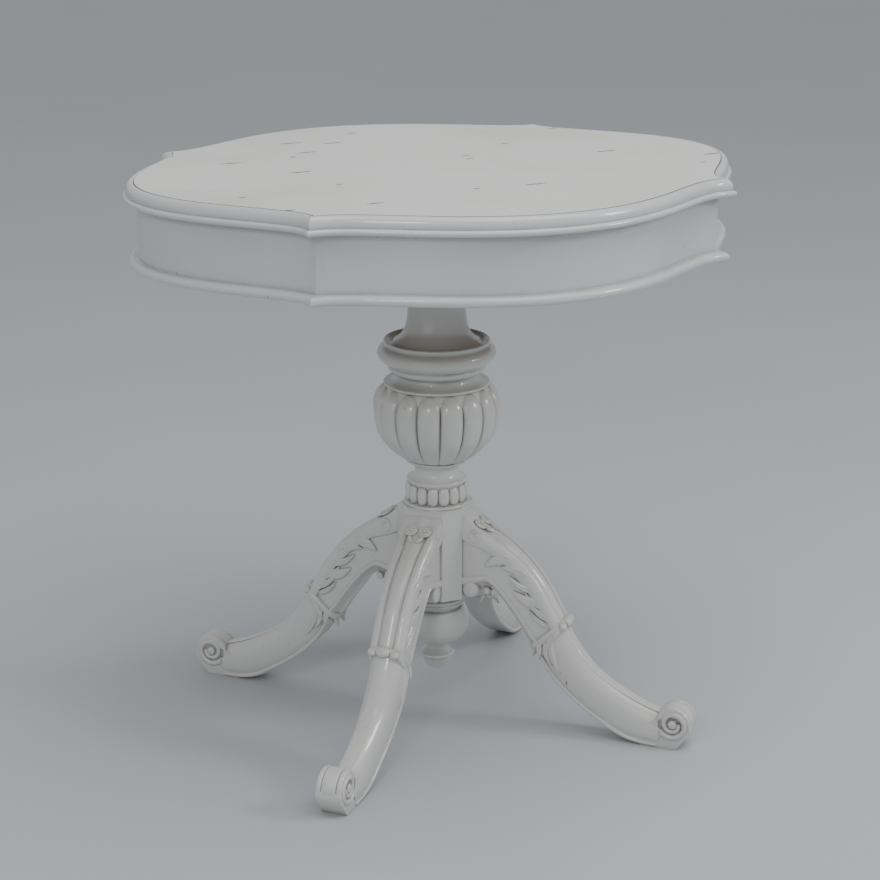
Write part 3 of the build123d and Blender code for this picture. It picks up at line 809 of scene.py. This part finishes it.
    def _base(self) -> None:
        """Stepped ring, bun and finial under the stem."""
        ring = [(0, 166), (37.4, 166), (37.4, 161.2)]
        ring += arc((37.2, 158.4), 2.6, 75, -75, 8) + [(36.2, 155.2), (36.2, 153.6)]
        ring += arc((35.0, 151.8), 2.0, 60, -60, 6) + [(33.6, 149.6), (33.0, 148.0), (0, 148.0)]
        self._piece(turned(ring, 96), "base_ring")
        bun = [(0, 148), (31, 148), (31, 145.2)]
        bun += eased([(31.0, 144.6), (36.0, 141.6), (40.2, 133.0), (41.7, 121.5), (39.6, 110.6), (33.4, 102.6),
                      (24.4, 99.2)], 32)
        bun += [(24, 99.0), (0, 99.0)]
        self._piece(turned(bun, 96), "bun")
        tip = [(0, 99), (17, 99), (17, 97.4)]
        tip += eased([(16.4, 97.0), (13.2, 92.4), (13.6, 86.6), (18.0, 81.8), (20.4, 80.4)], 14)
        tip += arc((20.0, 77.6), 2.8, 75, -80, 8) + [(18.4, 74.4), (15.6, 73.4)]
        tip += eased([(15.6, 73.2), (16.2, 68.4), (13.6, 61.6), (7.6, 57.2), (0.0, 56.1)], 18)
        self._piece(turned(tip, 72), "finial")


# ---- carved legs -------------------------------------------------------------------------------
@dataclass
class CarvedLeg:
    """One scroll leg, built in its own plane: X outward, Z up, Y across. All sizes in millimetres."""

    paint: bpy.types.Material
    crest: tuple = (
        (44, 281), (62, 267), (82, 255), (100, 244), (117, 231), (136, 212), (152, 191), (165, 168), (177, 147),
        (189, 126), (203, 107), (220, 88), (244, 72), (267, 60), (290, 51), (306, 46), (318, 40),
    )
    belly: tuple = (
        (44, 168), (60, 176), (76, 183), (92, 171), (106, 153), (119, 135), (130, 118), (138, 109), (143, 104),
        (151, 96), (160, 81), (177, 62), (199, 43), (224, 26), (250, 10), (274, 2), (304, 0),
    )
    tie_at: float = 8.0
    scroll: tuple = (325.0, 34.0)
    scroll_radius: float = 22.5
    first_turn: float = 42.5
    upper: tuple = (
        (0.0, 0.0, 0.0), (0.0, 1.0, -13.0), (0.04, 1.0, -12.0), (0.085, 1.0, -8.6), (0.14, 1.0, -3.4),
        (0.165, 1.0, -0.9), (0.18, 1.0, 0.0), (0.225, 1.0, 0.2), (0.24, 1.0, -0.5), (0.255, 1.0, -2.6),
        (0.45, 1.0, -3.0), (0.64, 1.0, -3.2), (0.685, 1.0, -3.4), (0.705, 1.0, -0.4), (0.76, 1.0, 0.7),
        (0.84, 1.0, 0.4), (0.91, 1.0, -1.4), (0.955, 1.0, -4.0), (0.975, 1.0, -7.0), (0.965, 1.0, -10.4),
        (0.925, 1.0, -12.2), (0.965, 0.30, 0.6), (0.995, 0.16, 0.4), (1.0, 0.0, 0.0),
    )
    lower: tuple = (
        (0.0, 0.0, 0.0), (0.0, 1.0, -3.0), (0.012, 1.0, -1.0), (0.035, 1.0, 0.2), (0.075, 1.0, 0.5),
        (0.105, 1.0, -0.3), (0.122, 1.0, -1.9), (0.145, 1.0, -1.6), (0.19, 1.0, -0.6), (0.28, 1.0, 0.3),
        (0.40, 1.0, 0.5), (0.52, 1.0, 0.2), (0.62, 1.0, -0.6), (0.70, 1.0, -1.8), (0.77, 1.0, -3.4),
        (0.83, 1.0, -5.4), (0.88, 1.0, -7.6), (0.92, 1.0, -9.8), (0.95, 1.0, -11.8), (0.968, 0.42, 0.0),
        (0.98, 0.34, 0.0), (0.99, 0.24, 0.0), (0.997, 0.12, 0.0), (1.0, 0.0, 0.0),
    )

    rail_steps: int = 321
    rails: tuple = field(init=False, default=())

    def __post_init__(self) -> None:
        """Work out the smooth crest and belly lines."""
        rows = [[(x, 0, z) for x, z in row] for row in (self.crest, self.belly)]
        self.rails = tuple(curve_through(row, self.rail_steps) for row in rows)

    def build(self) -> None:
        """Make the four legs."""
        for number, name in enumerate(("back_right", "back_left", "front_left", "front_right")):
            bm = bmesh.new()
            self._body(bm)
            self._foot(bm)
            self._arch_lobes(bm)
            self._tie(bm)
            for side in (-1, 1):
                self._spray(bm, side)
                self._volute(bm, side)
                self._rosette(bm, side)
            turn = Matrix.Rotation(math.radians(self.first_turn + 90 * number), 4, "Z")
            bmesh.ops.transform(bm, matrix=turn @ Matrix.Scale(MM, 4), verts=bm.verts)
            stand_in(finish_mesh(bm, f"leg_{name}_look", self.paint), "pedestal", "painted_wood", f"leg_{name}")

    def half_width(self, reach: float) -> float:
        """Half the leg's width at a distance from the pedestal axis."""
        if reach < 176:
            return 25.0 - 3.5 * (reach - 44) / 132
        return 21.5 - 5.6 * (reach - 176) / 171.5

    def rail_points(self, place: float) -> tuple[Vector, Vector]:
        """Crest and belly points at a place along the leg, counted in control points."""
        last = self.rail_steps - 1
        index = min(last, round(place / (len(self.crest) - 1) * last))
        return self.rails[0][index], self.rails[1][index]

    def _section(self, place: float) -> list[Vector]:
        """The closed section at a place along the leg."""
        crest, belly = self.rail_points(place)
        half = self.half_width((crest.x + belly.x) / 2)
        fade = min(1.0, max(0.0, (place - self.tie_at + 0.35) / 0.7))
        start = min(1.0, max(0.0, (place - 0.5) / 1.6))
        right = []
        for a, b in zip(self.upper, self.lower):
            share, wide, extra = (a[k] + (b[k] - a[k]) * fade for k in range(3))
            if share > 0.9:
                share += (0.985 - share) * (1 - start) * (1 - fade) if wide > 0.2 else 0.0
            y = wide * half + extra
            right.append((share, max(0.0, y)))
        loop = right + [(share, -y) for share, y in reversed(right[1:-1])]
        return [belly.lerp(crest, share) + Vector((0, y, 0)) for share, y in loop]

    def _body(self, bm: bmesh.types.BMesh) -> None:
        """Skin of the leg from the stem to the scroll."""
        steps = 150
        last = len(self.crest) - 1
        loft(bm, [self._section(last * i / steps) for i in range(steps + 1)])

    def _foot(self, bm: bmesh.types.BMesh) -> None:
        """Toe under the scroll, with its chamfer, and the three-banded roll of the scroll."""
        x, z = self.scroll
        r = self.scroll_radius
        outline = [(266, 9), (284, 0), (330, 0), (347.3, 24), (347.3, z), (338, 44), (318, 44), (296, 34), (276, 22)]
        wide = self.half_width(330)
        rows = []
        for y, shrink in ((-wide, 0.985), (-wide + 1.0, 1.0), (wide - 1.0, 1.0), (wide, 0.985)):
            middle = Vector((312, 0, 20))
            rows.append([middle + (Vector((px, 0, pz)) - middle) * shrink + Vector((0, y, 0)) for px, pz in outline])
        loft(bm, rows)
        bands = [(-wide, 0.0), (-wide, r - 3.0), (-wide + 0.5, r - 1.2), (-wide + 1.8, r - 0.3), (-wide + 4.2, r)]
        bands += [(-wide + 6.0, r - 0.5), (-wide + 6.8, r - 1.8), (-wide + 7.6, r - 0.5), (-wide + 9.0, r)]
        bands += [(-y, radius) for y, radius in reversed(bands)]
        self._roll(bm, (x, z), bands, 56)

    def _roll(self, bm: bmesh.types.BMesh, middle: tuple, bands: Sequence[tuple[float, float]], steps: int) -> None:
        """Spin an outline of (across, radius) about an axis across the leg."""
        centre = Vector((middle[0], 0, middle[1]))
        verts = draw_row(bm, [centre + Vector((radius, y, 0)) for y, radius in bands])
        edges = [bm.edges.get(pair) for pair in zip(verts, verts[1:])]
        bmesh.ops.spin(
            bm, geom=verts + edges, cent=centre, axis=(0, 1, 0), angle=2 * math.pi, steps=steps,
            use_merge=True, use_duplicate=False,
        )

    def _arch_lobes(self, bm: bmesh.types.BMesh) -> None:
        """Two rounded lobes where the arch meets the stem."""
        for x, z, r, wide in ((54, 180, 11.5, 24.0), (74, 178, 5.2, 16.0)):
            bands = [(-wide, 0), (-wide, 0.45 * r), (-wide + 0.6, 0.75 * r), (-wide + 2.2, 0.95 * r), (-wide + 4, r)]
            self._roll(bm, (x, z), bands + [(-y, q) for y, q in reversed(bands)], 32)

    def _ridge(self, bm: bmesh.types.BMesh, path: Sequence[Vector], widths: Sequence[float], height: float,
               up: Vector) -> None:
        """A half round ridge along a path.

        Args:
            bm: The mesh.
            path: Points along the ridge.
            widths: Half width at each point.
            height: How far it stands out.
            up: Direction it stands out in.
        """
        rows = []
        for i, (point, wide) in enumerate(zip(path, widths)):
            ahead = (path[min(i + 1, len(path) - 1)] - path[max(i - 1, 0)]).normalized()
            across = ahead.cross(up).normalized()
            ring = []
            for k in range(10):
                angle = 2 * math.pi * k / 10
                lift = height * math.sin(angle) * min(1.0, wide / max(widths))
                ring.append(point + across * (wide * math.cos(angle)) + up * lift)
            rows.append(ring)
        loft(bm, rows)

    def _leaf(self, bm: bmesh.types.BMesh, base: Vector, tip: Vector, wide: float, height: float, up: Vector,
              bend: float = 0.0) -> None:
        """A pointed leaf with a vein, as a flattened closed shell.

        Args:
            bm: The mesh.
            base: Root of the leaf.
            tip: Its point.
            wide: Half width.
            height: How far it stands out.
            up: Direction it stands out in.
            bend: How far its spine bows sideways.
        """
        along = tip - base
        across = along.cross(up).normalized()
        for vert in bmesh.ops.create_uvsphere(bm, u_segments=18, v_segments=12, radius=1.0)["verts"]:
            y, z, x = vert.co
            a = (x + 1) / 2
            point = base + along * a + across * (bend * math.sin(math.pi * a))
            narrow = 1 - 0.62 * a ** 2.0
            vein = 0.30 * math.exp(-(y / 0.20) ** 2) * (1 - a) ** 0.3 if z > 0 else 0.0
            curl = 0.5 * height * max(0.0, a - 0.6)
            vert.co = point + across * (wide * narrow * y) + up * (height * (z - vein) + curl)

    def _spray(self, bm: bmesh.types.BMesh, side: int) -> None:
        """Acanthus on the side panel, the tails under the tie and the edge curl by the stem."""
        up = Vector((0, side, 0))
        leaves = (
            (106, 226, 74, 214, 6.6, 3.4, -4), (110, 225, 86, 233, 4.4, 3.0, -3), (132, 204, 95, 216, 6.2, 3.6, -5),
            (143, 188, 106, 206, 4.6, 3.4, 4), (152, 175, 112, 186, 7.2, 3.8, 6), (158, 166, 128, 186, 4.0, 3.2, 3),
            (166, 150, 131, 176, 4.2, 3.4, 3), (162, 143, 134, 163, 3.4, 3.0, 3), (163, 128, 178, 82, 4.2, 3.2, -4),
            (157, 124, 167, 92, 3.6, 3.0, -4), (148, 122, 150, 98, 3.6, 3.0, 0),
        )
        for x0, z0, x1, z1, wide, height, bend in leaves:
            y = side * (self.half_width((x0 + x1) / 2) - (2.6 if z0 > 140 else 0.6))
            self._leaf(bm, Vector((x0, y, z0)), Vector((x1, y, z1)), 1.3 * wide, 1.25 * height, up, bend * side)
        inner = Vector((-0.86, 0, -0.5))
        self._leaf(bm, Vector((143, side * 9, 118)), Vector((138, side * 10, 96)), 6.5, 4.6, inner)
        spiral = []
        for i in range(28):
            angle = math.radians(80 + 17 * i)
            radius = 8.6 - 0.24 * i
            spiral.append(Vector((62 + radius * math.cos(angle), side * 24.2, 252 + radius * math.sin(angle))))
        self._ridge(bm, spiral, [2.2 - 0.045 * i for i in range(28)], 2.2, up)

    def _tie(self, bm: bmesh.types.BMesh) -> None:
        """Ribbon wound round the leg at mid height, with rolled tips on the crest."""
        crest, belly = self.rail_points(self.tie_at)
        up = (crest - belly).normalized()
        along = up.cross(Vector((0, 1, 0))).normalized()
        middle = (crest + belly) / 2
        half = self.half_width(176) + 1.0
        tall = (crest - belly).length / 2 + 1.2
        for shift, tilt, wide in ((-3.4, 0.16, 5.2), (4.0, -0.14, 5.6)):
            path = []
            for k in range(48):
                angle = 2 * math.pi * k / 48
                y = half * math.copysign(abs(math.cos(angle)) ** 0.62, math.cos(angle))
                h = tall * math.copysign(abs(math.sin(angle)) ** 0.62, math.sin(angle))
                lean = along * (shift + tilt * h)
                out = (Vector((0, y / half ** 2, 0)) + up * (h / tall ** 2)).normalized()
                path.append((middle + Vector((0, y, 0)) + up * h + lean, out))
            rows = []
            for point, out in path + path[:1]:
                ring = []
                for j in range(8):
                    a = 2 * math.pi * j / 8
                    ring.append(point + along * (wide * math.cos(a)) + out * (5.4 * math.sin(a) - 3.4))
                rows.append(ring)
            loft(bm, rows, caps=False)
        for y, r, wide in ((0, 5.6, 9.0), (-14.5, 4.6, 6.0), (14.5, 4.6, 6.0)):
            centre = crest + up * (1.6 if y == 0 else -1.2) - along * 2.0
            rows = []
            for k in range(9):
                a = math.pi * k / 8
                q = r * (0.35 + 0.65 * math.sin(a))
                spot = centre + Vector((0, y - wide * math.cos(a), 0))
                rows.append([spot + up * (q * math.sin(b)) + along * (1.25 * q * math.cos(b))
                             for b in [2 * math.pi * j / 14 for j in range(14)]])
            loft(bm, rows)

    def _volute(self, bm: bmesh.types.BMesh, side: int) -> None:
        """Spiral on the side of the toe, with a domed eye."""
        up = Vector((0, side, 0))
        y = side * (self.half_width(330) - 0.2)
        path, widths = [], []
        count = 84
        for i in range(count):
            share = i / (count - 1)
            angle = math.radians(215 + 520 * share)
            radius = 19.4 - 12.0 * share ** 0.85
            across, rise = radius * math.cos(angle), radius * math.sin(angle)
            path.append(Vector((self.scroll[0] + across, y, self.scroll[1] + rise)))
            widths.append(3.7 - 1.1 * share)
        self._ridge(bm, path, widths, 2.8, up)
        eye = bmesh.ops.create_uvsphere(bm, u_segments=24, v_segments=12, radius=1.0)["verts"]
        shape = Matrix.Translation((self.scroll[0], y, self.scroll[1])) @ Matrix.Diagonal((6.0, 3.4, 6.0, 1))
        bmesh.ops.transform(bm, matrix=shape, verts=eye)

    def _rosette(self, bm: bmesh.types.BMesh, side: int) -> None:
        """Round rosette on the shoulder and the leaf under it."""
        crest, belly = self.rail_points(1.1)
        ahead, _ = self.rail_points(1.5)
        slope = (ahead - crest).normalized()
        up = Vector((0, 1, 0)).cross(slope) * -1
        up = up if up.z > 0 else -up
        centre = crest + Vector((0, side * 9.2, 0)) + up * 0.4
        for k in range(6):
            angle = 2 * math.pi * (k + 0.5) / 6
            way = slope * math.cos(angle) + Vector((0, 1, 0)) * math.sin(angle)
            self._leaf(bm, centre + way * 7.4, centre + way * 1.2, 3.8, 2.4, up)
        ring = [centre + slope * (7.6 * math.cos(a)) + Vector((0, 7.6 * math.sin(a), 0))
                for a in [2 * math.pi * i / 28 for i in range(29)]]
        self._ridge(bm, ring, [1.3] * 29, 1.6, up)
        eye = bmesh.ops.create_uvsphere(bm, u_segments=12, v_segments=8, radius=2.2)["verts"]
        bmesh.ops.translate(bm, vec=centre + up * 1.6, verts=eye)
        root = centre + slope * 8.0
        tip = root + slope * 12.0 - Vector((0, side * 5.5, 0))
        self._leaf(bm, root, tip, 3.6, 2.2, up)


# ---- finishes on the carried-over pieces -------------------------------------------------------
@dataclass
class CarriedPieces:
    """CAD nodes that keep their shape and only get a finish."""

    nodes: dict
    finishes: dict

    def dress(self) -> None:
        """Give each node its finish."""
        for name, thing in self.nodes.items():
            material = self.finishes[self._kind(name)]
            thing.data.materials.clear()
            thing.data.materials.append(material)
            LOG.info("%s dressed in %s", name, material.name)

    @staticmethod
    def _kind(name: str) -> str:
        """Which finish a node takes."""
        if name.startswith(("catch_", "keeper_")):
            return "brass"
        if name.startswith(("pivot_pin", "bearer_screws")):
            return "iron"
        if name.startswith(("head_block", "bearer_", "glue_", "corner_block", "tenon_wedge")):
            return "wood"
        return "field" if name == "top_board" else "paint"


# ---- studio ------------------------------------------------------------------------------------
@dataclass(frozen=True)
class Studio:
    """Plain pale floor, soft light and the camera."""

    azimuth: float = -26.0
    pitch: float = 17.23
    distance: float = 2.528
    eye_height: float = 1.1518
    lens: float = 85.13
    shift: float = 0.00375
    lamps: tuple = (
        ("overhead", (0.4, -1.0, 3.4), (0.0, 0.0, 0.3), 2.6, 58.0),
        ("right_window", (2.7, -1.9, 2.1), (0.0, 0.0, 0.4), 0.7, 34.0),
        ("left_window", (-2.3, -2.6, 2.4), (0.0, 0.0, 0.4), 0.5, 17.0),
        ("left_fill", (-3.2, -2.0, 1.8), (0.0, 0.0, 0.4), 2.6, 14.0),
    )

    def build(self) -> None:
        """Make the floor, lamps, world and camera."""
        self._floor()
        for name, place, aim, size, power in self.lamps:
            light = bpy.data.lights.new(name, "AREA")
            light.size = size
            light.energy = power
            lamp = bpy.data.objects.new(name, light)
            lamp.location = place
            lamp.rotation_euler = (Vector(aim) - Vector(place)).to_track_quat("-Z", "Y").to_euler()
            bpy.context.scene.collection.objects.link(lamp)
        world = bpy.data.worlds.new("soft_room")
        world.use_nodes = True
        world.node_tree.nodes["Background"].inputs["Color"].default_value = (0.93, 0.96, 1.0, 1)
        world.node_tree.nodes["Background"].inputs["Strength"].default_value = 0.55
        bpy.context.scene.world = world
        self._camera()

    def _floor(self) -> None:
        """A wide plain floor."""
        bm = bmesh.new()
        bmesh.ops.create_grid(bm, x_segments=4, y_segments=4, size=60.0)
        mesh = bpy.data.meshes.new("floor")
        bm.to_mesh(mesh)
        bm.free()
        graph = Graph("plain_floor")
        tone = graph.ramp(graph.noise(1.2, 2.0), ((0.3, 0.0), (0.7, 1.0)))
        colour = graph.blend(tone, grey_tint(0.46, 0.48, 0.50), grey_tint(0.48, 0.50, 0.52))
        mesh.materials.append(graph.finish({"Base Color": colour, "Roughness": 0.55}))
        floor = bpy.data.objects.new("floor", mesh)
        bpy.context.scene.collection.objects.link(floor)

    def _camera(self) -> None:
        """The camera, at the height and angle of a standing viewer."""
        data = bpy.data.cameras.new("camera")
        data.lens = self.lens
        data.sensor_width = 36.0
        data.shift_x = self.shift
        data.clip_end = 100.0
        turn = math.radians(self.azimuth)
        camera = bpy.data.objects.new("camera", data)
        camera.location = (self.distance * math.sin(turn), -self.distance * math.cos(turn), self.eye_height)
        camera.rotation_euler = (math.radians(90 - self.pitch), 0, turn)
        bpy.context.scene.collection.objects.link(camera)
        bpy.context.scene.camera = camera


def main() -> None:
    """Build the table's looks in order."""
    logging.basicConfig(level=logging.INFO, format="%(message)s")
    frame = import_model()
    paint = PaintFinish().make()
    finishes = {
        "paint": paint,
        "field": FieldFinish().make(),
        "wood": WoodFinish().make(),
        "brass": BRASS.make(),
        "iron": IRON.make(),
    }
    # Painted light: the rim's copy of the paint, tinted cooler for the light on its upright faces.
    cool_lit_rim_paint = PaintFinish(name="cool_lit_rim_paint", light=RIM_COOL_LIT_PALE, dull=RIM_COOL_LIT_DULL).make()
    Studio().build()
    CarriedPieces(frame["nodes"], finishes).dress()
    SerpentineTop(cool_lit_rim_paint).build()
    TurnedPedestal(paint).build()
    CarvedLeg(paint).build()


if __name__ == "__main__":
    main()
